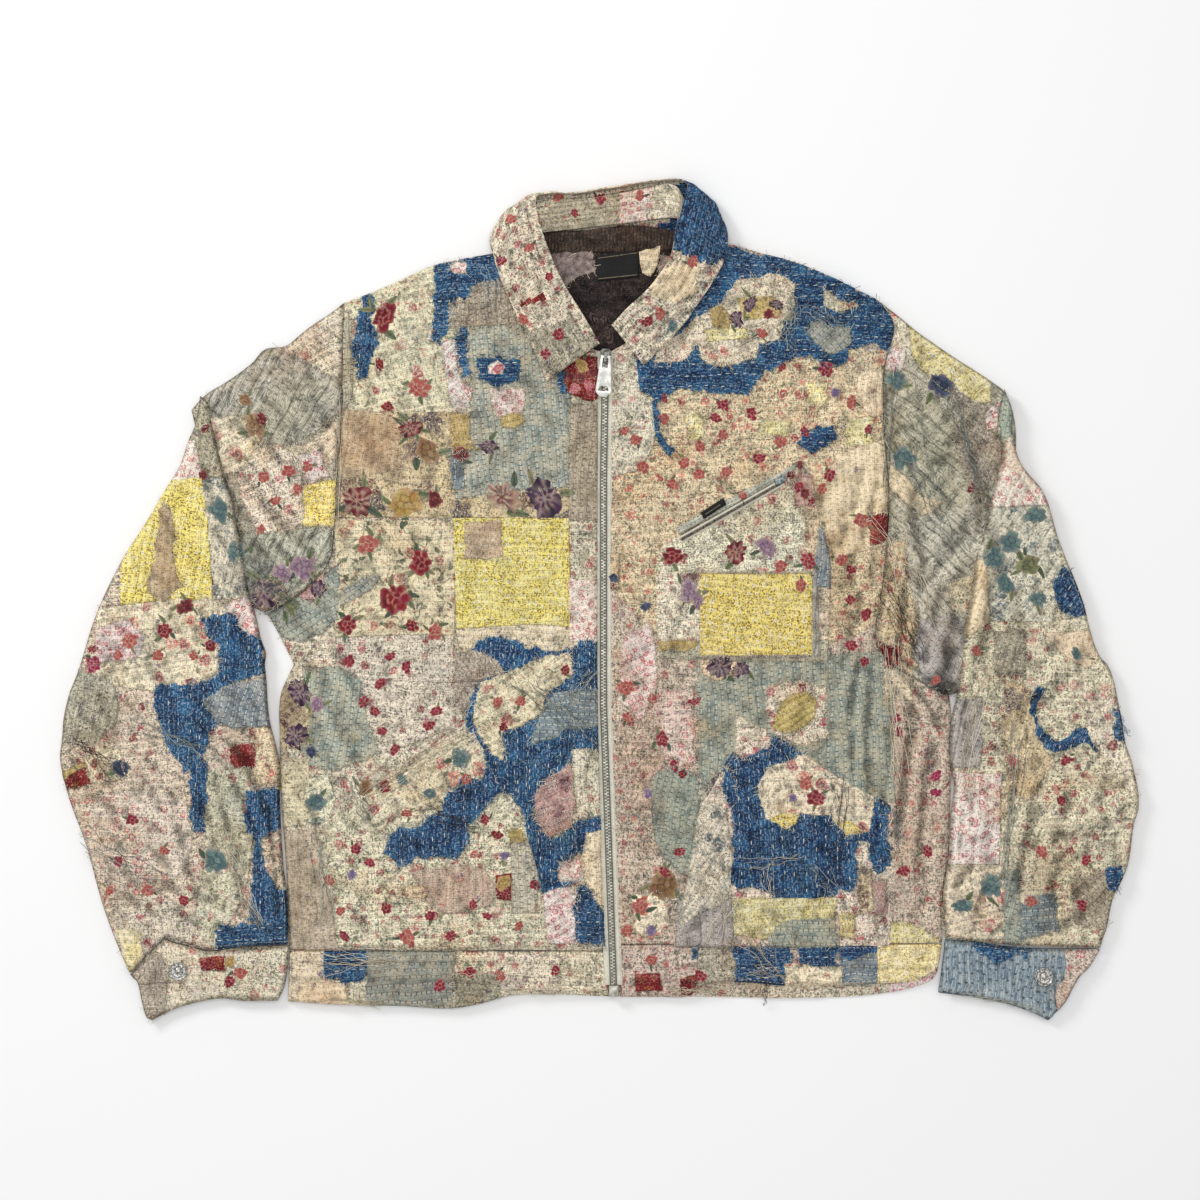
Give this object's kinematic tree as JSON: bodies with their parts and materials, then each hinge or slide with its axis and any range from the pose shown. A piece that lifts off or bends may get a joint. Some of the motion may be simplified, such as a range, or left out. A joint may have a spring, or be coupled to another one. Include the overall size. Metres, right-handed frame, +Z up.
{
  "type": "patched boro jacket",
  "caption": "Zip-front work jacket of patched, darned cloth laid flat on its back, with a folded collar, a zipped chest pocket, slanted hand pockets and cuffs.",
  "frame": {"origin": "on the resting surface, under the middle of the flat jacket's outline", "axes": "+X across the jacket towards the sleeve on the right as seen from above, +Y from hem to collar, +Z up out of the surface it lies on"},
  "size_m": [0.936, 0.7321, 0.0197],
  "materials": {
    "floral_patchwork": "matt patched cotton, cream ground with small flowers, worn and darned",
    "faded_chambray": "matt ribbed grey-blue cotton",
    "indigo_patchwork": "matt indigo cotton with pale running stitches",
    "yellow_floral": "matt yellow printed cotton",
    "plum_lining": "matt dark plum cotton",
    "label_cloth": "woven black label cloth, bare",
    "zip_tape": "sage woven tape",
    "zip_metal": "worn satin",
    "pull_metal": "bright satin",
    "tack_metal": "hammered, grey"
  },
  "bodies": {
    "jacket": {"back": "floral_patchwork", "back_lining": "plum_lining", "neck_label": "label_cloth", "front_left": "floral_patchwork", "front_right": "floral_patchwork", "front_band": "floral_patchwork", "waistband_back": "floral_patchwork", "waistband_front_left": "floral_patchwork", "waistband_front_right": "floral_patchwork", "sleeve_left": "floral_patchwork", "sleeve_right": "faded_chambray", "cuff_left": "floral_patchwork", "cuff_right": "faded_chambray", "cuff_button_left": "tack_metal", "cuff_button_right": "tack_metal", "collar_stand": "floral_patchwork", "collar_leaf": "floral_patchwork", "hand_pocket_left": "floral_patchwork", "hand_pocket_right": "indigo_patchwork", "chest_pocket": "floral_patchwork", "chest_patch_pocket": "yellow_floral", "chest_zip": "zip_metal", "chest_zip_welt": "faded_chambray", "chest_zip_slider": "zip_metal", "chest_label": "label_cloth", "zip_tape_left": "zip_tape", "zip_tape_right": "zip_tape", "zip_teeth_left": "zip_metal", "zip_teeth_right": "zip_metal", "zip_box": "zip_metal", "zip_slider": "zip_metal"},
    "pull": {"zip_pull": "pull_metal"}
  },
  "joints": [
    {"name": "zip_pull_swing", "type": "hinge", "parent": "jacket", "child": "pull", "pos_m": [0.00491, 0.2115, 0.012], "axis": [-0.9976, 0.0698, 0], "range_deg": [0, 115]}
  ]
}
